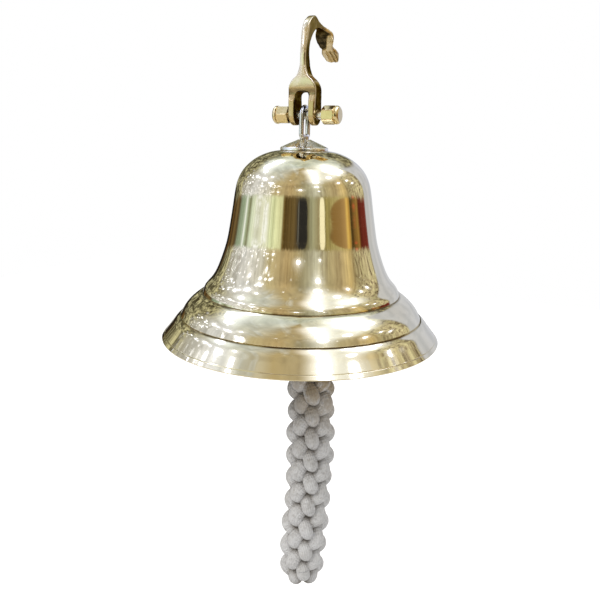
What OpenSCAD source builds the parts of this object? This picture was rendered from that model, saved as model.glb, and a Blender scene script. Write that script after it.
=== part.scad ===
// Ship's anchor bell: a spun brass bell with a hook for a rail, a clapper and a plaited rope.
// Heights in the sizes below are taken from the plane of the bell's lip.

/* [Bell shell] */
// Width of the bell across its lip
lip_d = 200; // [190:1:215]
// Height of the bell from its lip to the flat of its crown
bell_height = 131.9; // [125:0.1:145]
// Thickness of the bell's wall
bell_wall = 2.8; // [2:0.1:3.6]
// Width of the flat on the crown, under the cap
crown_flat_d = 33.2; // [30:0.1:36]
// Width of the bell where its round shoulder ends
shoulder_d = 95.2; // [90:0.1:100]
// Depth of the round shoulder below the crown
shoulder_drop = 30; // [26:0.5:34]
// Width of the bell at its waist
waist_d = 105; // [100:0.1:110]
// Height of the waist over the lip
waist_z = 74; // [70:0.5:78]
// Width of the bell at the upper groove
upper_groove_d = 141.4; // [136:0.1:146]
// Height of the upper groove over the lip
upper_groove_z = 32.7; // [30:0.1:36]
// Width of the bell at the lower groove
lower_groove_d = 173; // [168:0.1:176]
// Height of the lower groove over the lip
lower_groove_z = 16.4; // [14:0.1:19]
// Depth of each groove
groove_depth = 0.9; // [0.5:0.1:1.2]

/* [Crown fastening] */
// Diameter of the wire of the crown eye
eye_wire_d = 3.4; // [2.8:0.1:3.6]
// Diameter of the threaded shank of the crown eye
shank_d = 6.35; // [5:0.05:7]
// Height of the cap on the crown
cap_height = 7.5; // [6:0.1:9]
// Height of the upright edge of the cap
cap_edge = 1.8; // [1:0.1:2.6]
// Width of the flat on top of the cap
cap_top_d = 9.4; // [8.6:0.1:11]
// Width of the washer inside the crown
inner_washer_d = 24; // [18:0.5:30]
// Thickness of the washer inside the crown
inner_washer_t = 2; // [1.2:0.1:3]
// Thickness of the spring washer
spring_washer_t = 1.6; // [1:0.1:2]
// Height of the nut inside the crown
crown_nut_h = 5; // [4:0.1:7]
// Length of the threaded sleeve of the clapper eye
eye_sleeve_length = 10; // [8:0.5:13]
// Diameter of the wire of the clapper eye
inner_eye_wire_d = 4; // [3:0.1:4.6]
// Width of the hole in the clapper eye
inner_eye_hole_d = 7.4; // [7:0.1:9]

/* [Hanger] */
// Diameter of the rail that the hook sits on
rail_d = 33; // [31:0.1:34]
// Height of the middle of the hook's arch over the fork's stud
seat_rise = 41.3; // [39.3:0.1:48.3]
// Distance of the middle of the hook's arch behind the bell's axis
seat_y = 17.6; // [16:0.1:19]
// Thickness of the hook's shank from side to side
shank_w = 3.8; // [3.4:0.1:4.6]
// Thickness of the hook from side to side at the top of its arch
arch_w = 4.8; // [4:0.1:6]
// Depth of the hook's shank from front to back
shank_depth = 8.9; // [8:0.1:10]
// Depth of metal over the highest point of the rail
arch_rise = 7; // [5.5:0.1:8]
// Thickness of the leaf at the end of the hook
leaf_t = 2.8; // [2.2:0.1:3.6]
// Width of the leaf at its upper lobe
leaf_w = 13.6; // [12:0.1:16]
// Width of the leaf at its lower lobe
leaf_end_w = 12; // [10:0.1:14]
// Width of the waist between the two lobes of the leaf
leaf_waist_w = 8.2; // [7:0.1:9.5]
// Reach of the leaf behind the middle of the arch
leaf_reach = 30.9; // [30:0.1:34]
// Drop of the leaf's tip below the middle of the arch
leaf_drop = 1.5; // [0:0.1:4]
// Outer width of the fork across its two ears
fork_w = 19.8; // [19:0.1:22]
// Thickness of each ear of the fork
ear_t = 4.8; // [4.2:0.1:5]
// Radius of the round end of each ear
ear_r = 7; // [6.4:0.1:7.4]
// Height of the fork's stud over the bell's crown
stud_rise = 23.8; // [23.2:0.1:26]
// Height of the fork's slot above the stud
slot_rise = 15; // [13.5:0.1:17]
// Diameter of the stud through the fork
stud_d = 6; // [5:0.1:6.2]
// Length of the stud between the two cap nuts
stud_bare = 25.6; // [23.4:0.1:28]
// Distance that the stud has slid to the right
stud_shift = 1.4; // [0:0.1:1.5]
// Width of the nuts across their flats
nut_flats = 11.1; // [10:0.1:12]
// Height of the six-sided part of a cap nut
cap_nut_hex_h = 8.2; // [7:0.1:9]
// Height of the dome of a cap nut
cap_nut_dome_h = 3.6; // [3.4:0.1:5]

/* [Clapper] */
// Diameter of the wire of the link
link_wire_d = 3.2; // [2.6:0.1:3.4]
// Length of the link from the clapper eye's wire to the link pin
link_length = 13; // [12:0.5:16]
// Diameter of the link pin
link_pin_d = 3; // [2.4:0.1:3.4]
// Diameter of the clapper's ball
ball_d = 30; // [24:0.5:34]
// Height of the middle of the ball over the lip
ball_z = 34; // [32:0.5:40]
// Diameter of the clapper's rod
rod_d = 5; // [4:0.1:6]
// Height of the middle of the tail eye over the lip
tail_eye_z = 5; // [3:0.5:8]
// Diameter of the wire of the tail eye
tail_wire_d = 4; // [3:0.1:4.4]
// Width of the hole in the tail eye
tail_hole_d = 8; // [7.6:0.1:10]

/* [Rope] */
// Outer diameter of the plaited rope
rope_d = 33; // [30:0.5:34]
// Diameter of the cord of the rope's loop
loop_cord_d = 6; // [5:0.1:6.4]
// Distance between the middles of the legs of the rope's loop
loop_span = 13; // [12.4:0.1:15]
// Height of the twine seizing on the rope's loop
seizing_h = 3; // [2:0.1:3.4]
// Length of the knot that ends the rope
end_knot_h = 12; // [9:0.5:16]

/* [Hidden] */

// Clearances
run_clear = 0.05;       // a pin in its hole
thread_clear = 0.02;    // a thread in its nut
free_clear = 0.3;       // pieces that swing past each other
hole_clear = 0.3;       // a bolt through a plain hole
eye_play = 0.4;         // the crown eye's wire around the stud

// Colours
brass = "#b5a06a";
gold_brass = "#c09a45";
steel = "#c4c6c8";
cotton = "#dedad0";

$fn = 64;

// Bell outline
lip_r = lip_d / 2;
crown_flat_r = crown_flat_d / 2;
shoulder_r = shoulder_d / 2;
waist_r = waist_d / 2;
upper_r = upper_groove_d / 2;
lower_r = lower_groove_d / 2;
shoulder_z = bell_height - shoulder_drop;
shoulder_steps = 8;
curve_steps = 3;
neck_share = 0.4;       // how far from shoulder to waist the outline passes its next point
neck_pull = 0.39;
lip_round = 0.8;

// Heights of the hanger
stud_z = bell_height + stud_rise;
seat_z = stud_z + seat_rise;
beyond = 2 * rail_d;    // longer than anything that is cut

// Crown stack, from the crown down
shank_r = shank_d / 2;
shank_hole_r = shank_r + hole_clear;
cap_top_z = bell_height + cap_height;
crown_under_z = bell_height - bell_wall;
washer_z = crown_under_z - inner_washer_t;
spring_z = washer_z - spring_washer_t;
crown_nut_z = spring_z - crown_nut_h;
sleeve_top_z = crown_nut_z;
sleeve_z = sleeve_top_z - eye_sleeve_length;
shank_end_z = sleeve_z + 2;
spring_washer_w = 3;
spring_slit = 0.8;
nut_corner_r = nut_flats / 2 / cos(30);
sleeve_r = nut_flats / 2;

// Crown eye
eye_wire_r = eye_wire_d / 2;
stud_r = stud_d / 2;
eye_inner_r = stud_r + eye_play;
eye_half = eye_inner_r + eye_wire_r;
eye_arc_z = stud_z + stud_r + eye_play - eye_inner_r;
eye_corner_r = 3.4;
eye_foot_z = cap_top_z + eye_wire_r;

// Clapper eye and link
inner_eye_wire_r = inner_eye_wire_d / 2;
rod_r = rod_d / 2;
inner_eye_r = inner_eye_hole_d / 2 + inner_eye_wire_r;
inner_eye_z = sleeve_z - inner_eye_r;
link_z = inner_eye_z - inner_eye_r;
link_wire_r = link_wire_d / 2;
link_boss_t = link_wire_d + 0.4;
link_arc_r = max(inner_eye_wire_r, rod_r) + free_clear + 0.1 + link_boss_t / 2;
link_arc_z = link_z + inner_eye_wire_r + free_clear - (link_arc_r - link_wire_r);
pin_z = link_z - link_length;
link_pin_r = link_pin_d / 2;
link_boss_r = link_pin_r + 2.2;
link_boss_y = link_arc_r;
pin_head_t = 1.4;
pin_half = link_boss_y + link_boss_t / 2;

// Clapper
ball_r = ball_d / 2;
clapper_head_r = link_pin_r + 2.4;
clapper_head_t = 2 * (link_boss_y - link_boss_t / 2 - free_clear);
rod_in_ball = 10;
lock_nut_flats = rod_d + 4;
lock_nut_h = 3.2;
tail_wire_r = tail_wire_d / 2;
tail_eye_r = tail_hole_d / 2 + tail_wire_r;
tail_screw_r = tail_wire_r;
tail_in_ball = 8;
tail_pivot_z = tail_eye_z - tail_eye_r;

// Rope. The route is the rope's middle line as it hangs, top to bottom, in the bell's own frame.
rope_r = rope_d / 2;
loop_cord_r = loop_cord_d / 2;
loop_half = loop_span / 2;
loop_arc_z = tail_pivot_z + tail_wire_r + free_clear + loop_cord_r - loop_half;
rope_route = [
    [0, 0, -8], [2.6, 1.2, -15], [5.2, 2.4, -23], [7.2, 3.4, -32], [8.4, 3.9, -42], [8.7, 4.1, -53],
    [8.9, 4.1, -65], [9, 4.2, -78], [8.9, 4.1, -91], [8.8, 4.1, -104], [8.6, 4, -117], [8.2, 3.8, -130],
    [7.6, 3.6, -143], [6.9, 3.2, -156], [6.3, 2.9, -169], [5.7, 2.6, -181], [5.2, 2.4, -193]
];
ring_stride = 4;        // the tube has a ring at every fourth point of the route
rope_sides = 12;
rope_top = rope_route[0];
rope_end = rope_route[len(rope_route) - 1];
loop_bury = 6;          // how deep the loop's legs run into the rope

// Points along a smooth curve through the given points, ends included
function curve(p, n) = [
    for (i = [0 : len(p) - 2], k = [0 : n - 1])
        spline(p[max(i - 1, 0)], p[i], p[i + 1], p[min(i + 2, len(p) - 1)], k / n),
    p[len(p) - 1]
];
function spline(a, b, c, d, t) =
    0.5 * (2 * b + (c - a) * t + (2 * a - 5 * b + 4 * c - d) * t * t + (3 * b - a - 3 * c + d) * t * t * t);

// Points on an arc, from one angle to another
function arc(centre, r, from, to, n) = [
    for (i = [0 : n]) centre + r * [cos(from + (to - from) * i / n), sin(from + (to - from) * i / n)]
];

// The line moved sideways by t, to its right as it is followed
function beside(p, t) = [
    for (i = [0 : len(p) - 1])
        let (d = p[min(i + 1, len(p) - 1)] - p[max(i - 1, 0)], l = norm(d))
            p[i] + t * [d[1], -d[0]] / l
];

// The part's frame has its origin in the middle of the hook's arch
module in_bell_frame() {
    translate([0, -seat_y, -seat_z]) children();
}

module turned(profile) {
    rotate_extrude($fn = 96) polygon(profile);
}

module along_x(length) {
    translate([-length / 2, 0, 0]) rotate([0, 90, 0]) linear_extrude(length) children();
}

// A round bar along X, centred on the origin
module bar_x(r, length) {
    rotate([0, 90, 0]) cylinder(r = r, h = length, center = true);
}

// A round bar along Y, centred on the origin
module bar_y(r, length) {
    rotate([90, 0, 0]) cylinder(r = r, h = length, center = true);
}

// Part of a ring of wire in the YZ plane, from one angle to another, 0 being +Y and 90 being +Z
module wire_arc(r, wire_r, from, to) {
    rotate([90, 0, 90]) rotate([0, 0, from])
        rotate_extrude(angle = to - from, $fn = 48) translate([r, 0]) circle(r = wire_r, $fn = 24);
}

module hexagon(flats, height) {
    cylinder(r = flats / 2 / cos(30), h = height, $fn = 6);
}

// Upper body of the bell: round shoulder, waist and flare down to the upper groove
shoulder_line = [
    for (i = [0 : shoulder_steps])
        let (a = 90 * i / shoulder_steps)
            [crown_flat_r + (shoulder_r - crown_flat_r) * sin(a), shoulder_z + shoulder_drop * cos(a)]
];
flare_r = upper_r - 13.1;
flare_z = upper_groove_z + 23.3;
bulge_r = upper_r - 4.8;
bulge_z = upper_groove_z + 7.6;
roll_r = upper_r - 1;
roll_z = upper_groove_z + 2.9;
body_line = curve([
    [shoulder_r, shoulder_z],
    [shoulder_r + neck_pull * (waist_r - shoulder_r), shoulder_z - neck_share * (shoulder_z - waist_z)],
    [waist_r, waist_z],
    [flare_r, flare_z],
    [bulge_r, bulge_z],
    [roll_r, roll_z],
    [upper_r, upper_groove_z]
], curve_steps);
band_run = [lower_r - upper_r, lower_groove_z - upper_groove_z];
band_line = curve([
    [upper_r + 0.9, upper_groove_z - 0.6],
    [upper_r + 0.22 * band_run[0], upper_groove_z + 0.13 * band_run[1]],
    [upper_r + 0.55 * band_run[0], upper_groove_z + 0.38 * band_run[1]],
    [upper_r + 0.81 * band_run[0], upper_groove_z + 0.66 * band_run[1]],
    [lower_r, lower_groove_z + 0.4]
], curve_steps);
rim_run = [lip_r - lower_r, -lower_groove_z];
rim_line = curve([
    [lower_r + 0.9, lower_groove_z - 0.5],
    [lower_r + 0.28 * rim_run[0], lower_groove_z + 0.2 * rim_run[1]],
    [lower_r + 0.54 * rim_run[0], lower_groove_z + 0.48 * rim_run[1]],
    [lower_r + 0.8 * rim_run[0], lower_groove_z + 0.75 * rim_run[1]],
    [lip_r, lip_round]
], curve_steps);
outer_line = concat(
    [for (i = [0 : shoulder_steps - 1]) shoulder_line[i]],
    body_line,
    [[upper_r - groove_depth, upper_groove_z - 0.8]],
    band_line,
    [[lower_r - groove_depth, lower_groove_z - 0.7]],
    rim_line
);
// The inside follows the outside at the wall's thickness, from the bottoms of the grooves
inner_guide = beside(concat(
    [for (i = [1 : 2 : shoulder_steps - 1]) shoulder_line[i]],
    [
        [shoulder_r, shoulder_z],
        [shoulder_r + neck_pull * (waist_r - shoulder_r), shoulder_z - neck_share * (shoulder_z - waist_z)],
        [waist_r, waist_z],
        [flare_r, flare_z],
        [bulge_r, bulge_z],
        [upper_r - groove_depth, upper_groove_z - 0.8],
        [upper_r + 0.55 * band_run[0], upper_groove_z + 0.38 * band_run[1]],
        [lower_r - groove_depth, lower_groove_z - 0.7],
        [lower_r + 0.54 * rim_run[0], lower_groove_z + 0.48 * rim_run[1]],
        [lip_r, 0]
    ]
), bell_wall);
inner_last = len(inner_guide) - 1;
lip_inner_r = inner_guide[inner_last][0];
inner_line = curve(concat(
    [for (i = [0 : inner_last - 1]) inner_guide[i]],
    [[lip_inner_r, 0]]
), curve_steps);

module bell_shell() {
    color(brass) in_bell_frame() difference() {
        turned(concat(
            [[0, bell_height]],
            outer_line,
            [[lip_r - lip_round, 0]],
            [for (i = [len(inner_line) - 1 : -1 : 0]) inner_line[i]],
            [[crown_flat_r, crown_under_z], [0, crown_under_z]]
        ));
        translate([0, 0, crown_under_z - 1]) cylinder(r = shank_hole_r, h = bell_wall + 2);
    }
}

module crown_cap() {
    color(brass) in_bell_frame() difference() {
        turned([
            [0, bell_height],
            [crown_flat_r, bell_height],
            [crown_flat_r, bell_height + cap_edge],
            [crown_flat_r - 0.6, bell_height + cap_edge + 0.5],
            [cap_top_d / 2, cap_top_z],
            [0, cap_top_z]
        ]);
        translate([0, 0, bell_height - 1]) cylinder(r = shank_hole_r, h = cap_height + 2);
    }
}

module crown_eye() {
    corner_y = eye_half - eye_corner_r;
    corner_z = eye_foot_z + eye_corner_r;
    color(steel) in_bell_frame() {
        translate([0, 0, eye_arc_z]) wire_arc(eye_half, eye_wire_r, 0, 180);
        for (side = [-1, 1])
            translate([0, side * eye_half, corner_z]) cylinder(r = eye_wire_r, h = eye_arc_z - corner_z);
        translate([0, corner_y, corner_z]) wire_arc(eye_corner_r, eye_wire_r, -90, 0);
        translate([0, -corner_y, corner_z]) wire_arc(eye_corner_r, eye_wire_r, 180, 270);
        translate([0, 0, eye_foot_z]) bar_y(eye_wire_r, 2 * corner_y);
        translate([0, 0, shank_end_z]) cylinder(r = shank_r, h = eye_foot_z - shank_end_z);
    }
}

module inner_washer() {
    color(steel) in_bell_frame() translate([0, 0, washer_z]) difference() {
        cylinder(r = inner_washer_d / 2, h = inner_washer_t);
        translate([0, 0, -1]) cylinder(r = shank_hole_r, h = inner_washer_t + 2);
    }
}

module spring_washer() {
    color(steel) in_bell_frame() translate([0, 0, spring_z]) difference() {
        cylinder(r = shank_hole_r + spring_washer_w, h = spring_washer_t);
        translate([0, 0, -1]) cylinder(r = shank_hole_r, h = spring_washer_t + 2);
        translate([0, -spring_slit / 2, -1])
            cube([shank_r + 2 * spring_washer_w, spring_slit, spring_washer_t + 2]);
    }
}

module crown_nut() {
    color(steel) in_bell_frame() translate([0, 0, crown_nut_z]) difference() {
        hexagon(nut_flats, crown_nut_h);
        translate([0, 0, -1]) cylinder(r = shank_r + thread_clear, h = crown_nut_h + 2);
    }
}

// Threaded sleeve with the eye that the clapper's link hangs in
module clapper_eye() {
    color(steel) in_bell_frame() {
        difference() {
            translate([0, 0, sleeve_z - inner_eye_wire_r])
                cylinder(r = sleeve_r, h = eye_sleeve_length + inner_eye_wire_r);
            translate([0, 0, shank_end_z]) cylinder(r = shank_r + thread_clear, h = eye_sleeve_length);
            translate([0, 0, inner_eye_z]) bar_y(inner_eye_r, 4 * sleeve_r);
        }
        translate([0, 0, inner_eye_z]) rotate([0, 0, 90]) wire_arc(inner_eye_r, inner_eye_wire_r, 0, 360);
    }
}

module link_bow() {
    leg_bottom_z = pin_z + link_boss_r - 0.6;
    color(steel) in_bell_frame() {
        translate([0, 0, link_arc_z]) wire_arc(link_arc_r, link_wire_r, 0, 180);
        for (side = [-1, 1]) {
            translate([0, side * link_arc_r, leg_bottom_z])
                cylinder(r = link_wire_r, h = link_arc_z - leg_bottom_z);
            translate([0, side * link_boss_y, pin_z]) difference() {
                bar_y(link_boss_r, link_boss_t);
                bar_y(link_pin_r + thread_clear, link_boss_t + 2);
            }
        }
    }
}

module link_pin() {
    color(steel) in_bell_frame() translate([0, 0, pin_z]) {
        bar_y(link_pin_r, 2 * (pin_half + pin_head_t));
        for (side = [-1, 1])
            translate([0, side * (pin_half + pin_head_t / 2), 0]) bar_y(link_pin_r + 1.1, pin_head_t);
    }
}

module clapper_rod() {
    rod_bottom_z = ball_z + ball_r - rod_in_ball;
    color(steel) in_bell_frame() difference() {
        union() {
            translate([0, 0, pin_z]) bar_y(clapper_head_r, clapper_head_t);
            translate([0, 0, rod_bottom_z]) cylinder(r = rod_r, h = pin_z - rod_bottom_z);
        }
        translate([0, 0, pin_z]) bar_y(link_pin_r + run_clear, clapper_head_t + 2);
    }
}

module ball_lock_nut() {
    color(steel) in_bell_frame() translate([0, 0, ball_z + ball_r + 0.2]) difference() {
        hexagon(lock_nut_flats, lock_nut_h);
        translate([0, 0, -1]) cylinder(r = rod_r + thread_clear, h = lock_nut_h + 2);
    }
}

module clapper_ball() {
    color(brass) in_bell_frame() difference() {
        union() {
            translate([0, 0, ball_z]) sphere(r = ball_r, $fn = 96);
            translate([0, 0, ball_z + ball_r - 1.5]) cylinder(r = rod_r + 1.4, h = 1.7);
            translate([0, 0, ball_z - ball_r - 1.5]) cylinder(r = tail_screw_r + 2, h = 3);
        }
        translate([0, 0, ball_z + ball_r - rod_in_ball])
            cylinder(r = rod_r + thread_clear, h = rod_in_ball + 3);
        translate([0, 0, ball_z - ball_r - 3])
            cylinder(r = tail_screw_r + thread_clear, h = tail_in_ball + 3);
    }
}

module tail_eye() {
    stem_z = tail_eye_z + tail_eye_r;
    color(steel) in_bell_frame() {
        translate([0, 0, tail_eye_z]) wire_arc(tail_eye_r, tail_wire_r, 0, 360);
        translate([0, 0, stem_z]) cylinder(r = tail_screw_r, h = ball_z - ball_r + tail_in_ball - stem_z);
    }
}

// Side of the hanger, seen along X with Y to the right: fork end, shank, arch and leaf
shank_front_y = -6.3;
leaf_start_angle = 25;
front_line = curve([
    [-ear_r, stud_z],
    [-ear_r, stud_z + 11],
    [-ear_r + 0.1, stud_z + 20],
    [shank_front_y, seat_z - 10],
    [shank_front_y, seat_z - 2],
    [shank_front_y + 1.3, seat_z + 5.6],
    [shank_front_y + 3.5, seat_z + 14.7],
    [seat_y - 17, seat_z + rail_d / 2 + 3],
    [seat_y - 9.4, seat_z + rail_d / 2 + arch_rise],
    [seat_y - 2.5, seat_z + rail_d / 2 + leaf_t + 1.4]
], curve_steps);
leaf_tip = [seat_y + leaf_reach, seat_z - leaf_drop];
leaf_root = [seat_y, seat_z] + (rail_d / 2 + leaf_t / 2) * [cos(leaf_start_angle), sin(leaf_start_angle)];
leaf_back_angle = 68;
leaf_line = curve(concat(
    arc([seat_y, seat_z], rail_d / 2 + leaf_t / 2, leaf_back_angle, leaf_start_angle, 2),
    [
        leaf_root + 0.28 * (leaf_tip - leaf_root) + [0, -0.4],
        leaf_root + 0.62 * (leaf_tip - leaf_root) + [0.2, 0.5],
        leaf_tip
    ]
), curve_steps);
leaf_upper = beside(leaf_line, -leaf_t / 2);
leaf_lower = beside(leaf_line, leaf_t / 2);
seat_line = arc([seat_y, seat_z], rail_d / 2 - 1, leaf_start_angle + 20, 180, 10);
side_outline = concat(
    arc([0, stud_z], ear_r, 0, -180, 12),
    [for (i = [1 : len(front_line) - 1]) front_line[i]],
    leaf_upper,
    [for (i = [len(leaf_lower) - 1 : -1 : 2]) leaf_lower[i]],
    seat_line,
    [
        [shank_front_y + shank_depth, seat_z - 10],
        [shank_front_y + shank_depth + 0.9, stud_z + 24.3],
        [shank_front_y + shank_depth + 2.5, stud_z + 16.3],
        [ear_r - 1.4, stud_z + 10.3]
    ]
);

// Front of the hanger, seen along Y: fork, shoulders and shank, right half
fork_half = fork_w / 2;
shoulder_half = curve([
    [fork_half, stud_z + 15],
    [fork_half - 0.3, stud_z + 18.5],
    [fork_half - 2.4, stud_z + 22.3],
    [fork_half - 5.6, stud_z + 25.2],
    [shank_w / 2 + 1, stud_z + 28.5],
    [shank_w / 2, stud_z + 33.5],
    [shank_w / 2, seat_z + 2]
], curve_steps);
front_half = concat(
    [[fork_half - 1, stud_z - 2 * ear_r]],
    shoulder_half,
    [[arch_w / 2, seat_z + 12], [arch_w / 2, seat_z + beyond], [0, seat_z + beyond]]
);

// Top of the hanger, seen along Z: arch and leaf, right half
leaf_half = curve([
    [arch_w / 2, seat_y - 3],
    [arch_w / 2 + 0.3, seat_y + 3.4],
    [arch_w / 2 + 1.6, seat_y + 7],
    [leaf_w / 2 - 0.5, seat_y + 10.4],
    [leaf_w / 2, seat_y + 13],
    [leaf_w / 2 - 1.5, seat_y + 15.2],
    [leaf_waist_w / 2, seat_y + 17],
    [leaf_waist_w / 2 + 0.4, seat_y + 19.4],
    [leaf_end_w / 2 - 0.4, seat_y + leaf_reach - 10.2],
    [leaf_end_w / 2, seat_y + leaf_reach - 6.4],
    [leaf_end_w / 2 - 1.3, seat_y + leaf_reach - 2.6],
    [leaf_end_w / 2 - 3.4, seat_y + leaf_reach]
], curve_steps);
top_half = concat([[arch_w / 2, -beyond]], leaf_half);

function mirrored(half) = concat(half, [for (i = [len(half) - 1 : -1 : 0]) [-half[i][0], half[i][1]]]);

module side_plate(width) {
    rotate([90, 0, 90]) translate([0, 0, -width / 2]) linear_extrude(width) polygon(side_outline);
}

module hanger_hook() {
    split_z = seat_z + 2;
    slot_r = 3;
    slot_half = fork_half - ear_t;
    slot_top_z = stud_z + slot_rise;
    color(gold_brass) in_bell_frame() difference() {
        union() {
            // Fork, shoulders and shank
            intersection() {
                side_plate(fork_w);
                rotate([90, 0, 0]) linear_extrude(2 * beyond, center = true) polygon(mirrored(front_half));
                translate([-fork_w, -fork_w, 0]) cube([2 * fork_w, fork_w + seat_y, seat_z + beyond]);
            }
            // Arch and leaf
            intersection() {
                side_plate(leaf_w);
                linear_extrude(seat_z + beyond) polygon(mirrored(top_half));
                translate([-leaf_w, seat_y - 3, split_z - rail_d]) cube([2 * leaf_w, 2 * leaf_reach, beyond]);
            }
        }
        // Seat for the rail
        translate([0, seat_y, seat_z]) bar_x(rail_d / 2, 2 * leaf_w);
        // Slot of the fork, with round upper corners
        translate([-slot_half, -20, stud_z - 3 * ear_r])
            cube([2 * slot_half, 40, 3 * ear_r + slot_rise - slot_r]);
        translate([-slot_half + slot_r, -20, slot_top_z - slot_r - 1])
            cube([2 * (slot_half - slot_r), 40, slot_r + 1]);
        for (side = [-1, 1])
            translate([side * (slot_half - slot_r), 0, slot_top_z - slot_r]) bar_y(slot_r, 40);
        // Holes for the stud
        translate([0, 0, stud_z]) bar_x(stud_r + run_clear, 2 * fork_w);
    }
}

stud_inner = 8;         // how far the stud runs into each cap nut

module fork_stud() {
    color(steel) in_bell_frame() translate([stud_shift, 0, stud_z])
        bar_x(stud_r, stud_bare + 2 * stud_inner);
}

// Cap nut on the X axis, its flat face at the origin and its dome towards +X
module cap_nut() {
    dome_r = nut_corner_r - 0.3;
    dome_round = 2.4;
    groove_r = nut_flats / 2 - 0.3;
    bore_end = stud_inner + 0.4;
    bevel = 0.6;
    wide_r = nut_corner_r + cap_nut_hex_h;
    cone_h = cap_nut_hex_h + bevel;
    cap_nut_h = cap_nut_hex_h + cap_nut_dome_h;
    difference() {
        rotate([0, 90, 0]) {
            intersection() {
                hexagon(nut_flats, cap_nut_hex_h);
                cylinder(r1 = nut_corner_r - bevel, r2 = wide_r, h = cone_h);
                translate([0, 0, -bevel]) cylinder(r1 = wide_r, r2 = nut_corner_r - bevel, h = cone_h);
            }
            turned(concat(
                [[0, cap_nut_hex_h - 1], [groove_r, cap_nut_hex_h - 1], [groove_r, cap_nut_hex_h + 0.4]],
                [[dome_r, cap_nut_hex_h + 0.8]],
                arc([dome_r - dome_round, cap_nut_h - dome_round], dome_round, 0, 90, 6),
                [[0, cap_nut_h]]
            ));
        }
        translate([bore_end / 2 - 0.5, 0, 0]) bar_x(stud_r + thread_clear, bore_end + 1);
    }
}

// The left nut has turned by half a flat against the right one
module cap_nuts() {
    color(gold_brass) in_bell_frame() translate([stud_shift, 0, stud_z]) {
        translate([stud_bare / 2, 0, 0]) cap_nut();
        translate([-stud_bare / 2, 0, 0]) rotate([0, 0, 180]) rotate([30, 0, 0]) cap_nut();
    }
}

module rope_loop() {
    leg_bottom_z = rope_top[2] - loop_bury;
    color(cotton) in_bell_frame() rotate([0, 0, 90]) {
        translate([0, 0, loop_arc_z]) wire_arc(loop_half, loop_cord_r, 0, 180);
        for (side = [-1, 1])
            translate([0, side * loop_half, leg_bottom_z])
                cylinder(r = loop_cord_r, h = loop_arc_z - leg_bottom_z);
    }
}

module loop_seizing() {
    band_r = loop_cord_r + 1.2;
    color(cotton) in_bell_frame() translate([0, 0, rope_top[2]]) difference() {
        union() {
            translate([-loop_half, -band_r, 0]) cube([loop_span, 2 * band_r, seizing_h]);
            for (side = [-1, 1]) translate([side * loop_half, 0, 0]) cylinder(r = band_r, h = seizing_h);
        }
        for (side = [-1, 1])
            translate([side * loop_half, 0, -1]) cylinder(r = loop_cord_r, h = seizing_h + 2);
    }
}

// The rings of the tube lie flat, so that its ends meet the loop and the knot face to face
ring_picks = concat([for (i = [0 : ring_stride : len(rope_route) - 1]) i]);
rope_points = [
    for (pick = ring_picks, s = [0 : rope_sides - 1])
        rope_route[pick] + rope_r * [cos(360 * s / rope_sides), sin(360 * s / rope_sides), 0]
];
rope_last = len(ring_picks) - 1;
rope_faces = concat(
    [[for (s = [0 : rope_sides - 1]) s]],
    [
        for (k = [0 : rope_last - 1], s = [0 : rope_sides - 1])
            let (t = (s + 1) % rope_sides, a = k * rope_sides, b = (k + 1) * rope_sides)
                [a + s, b + s, b + t, a + t]
    ],
    [[for (s = [rope_sides - 1 : -1 : 0]) rope_last * rope_sides + s]]
);

module bell_rope() {
    color(cotton) in_bell_frame() polyhedron(points = rope_points, faces = rope_faces, convexity = 2);
}

module rope_end_knot() {
    knot_r = rope_r - 1;
    round_r = 7;
    color(cotton) in_bell_frame() translate(rope_end) turned(concat(
        [[0, 0], [knot_r, 0]],
        arc([knot_r - round_r, round_r - end_knot_h], round_r, 0, -90, 5),
        [[0, -end_knot_h]]
    ));
}

hanger_hook();
fork_stud();
cap_nuts();
crown_eye();
crown_cap();
bell_shell();
inner_washer();
spring_washer();
crown_nut();
clapper_eye();
link_bow();
link_pin();
clapper_rod();
ball_lock_nut();
clapper_ball();
tail_eye();
rope_loop();
loop_seizing();
bell_rope();
rope_end_knot();
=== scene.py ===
"""Anchor bell: the looks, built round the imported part. The row frame is in metres, points here in mm."""

import math

import bmesh
import bpy
import numpy as np
from mathutils import Matrix, Vector


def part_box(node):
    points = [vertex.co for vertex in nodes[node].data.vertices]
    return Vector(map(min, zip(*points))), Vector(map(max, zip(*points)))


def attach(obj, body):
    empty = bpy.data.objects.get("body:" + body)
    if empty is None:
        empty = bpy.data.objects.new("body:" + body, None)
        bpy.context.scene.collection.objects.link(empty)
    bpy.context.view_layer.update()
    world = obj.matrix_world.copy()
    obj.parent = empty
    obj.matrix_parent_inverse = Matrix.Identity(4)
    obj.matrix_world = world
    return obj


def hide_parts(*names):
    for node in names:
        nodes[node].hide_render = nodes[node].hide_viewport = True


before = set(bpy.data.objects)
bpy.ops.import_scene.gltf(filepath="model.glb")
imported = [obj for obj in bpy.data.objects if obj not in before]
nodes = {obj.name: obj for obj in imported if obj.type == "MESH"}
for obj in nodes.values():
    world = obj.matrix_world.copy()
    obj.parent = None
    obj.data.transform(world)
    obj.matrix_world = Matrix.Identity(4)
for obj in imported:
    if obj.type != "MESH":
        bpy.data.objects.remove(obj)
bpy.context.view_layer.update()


scene = bpy.context.scene

# The bell's own frame, in mm: its lip's plane at height 0, its axis at x = y = 0. SEAT is the row's origin
SEAT = np.array([0.0, 17.6, 197.0])
BELL_H = 131.9
STUD_Z = 155.7
UP = np.array([0.0, 0.0, 1.0])


def row(points):
    """Points in mm in the bell's own frame, as metres in the row frame."""
    return (np.asarray(points, float) - SEAT) / 1000


def own(points):
    """Points in metres in the row frame, as mm in the bell's own frame."""
    return np.asarray(points) * 1000 + SEAT


def row_z(height):
    """A height over the lip in mm, as metres in the row frame."""
    return (height - SEAT[2]) / 1000


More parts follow.
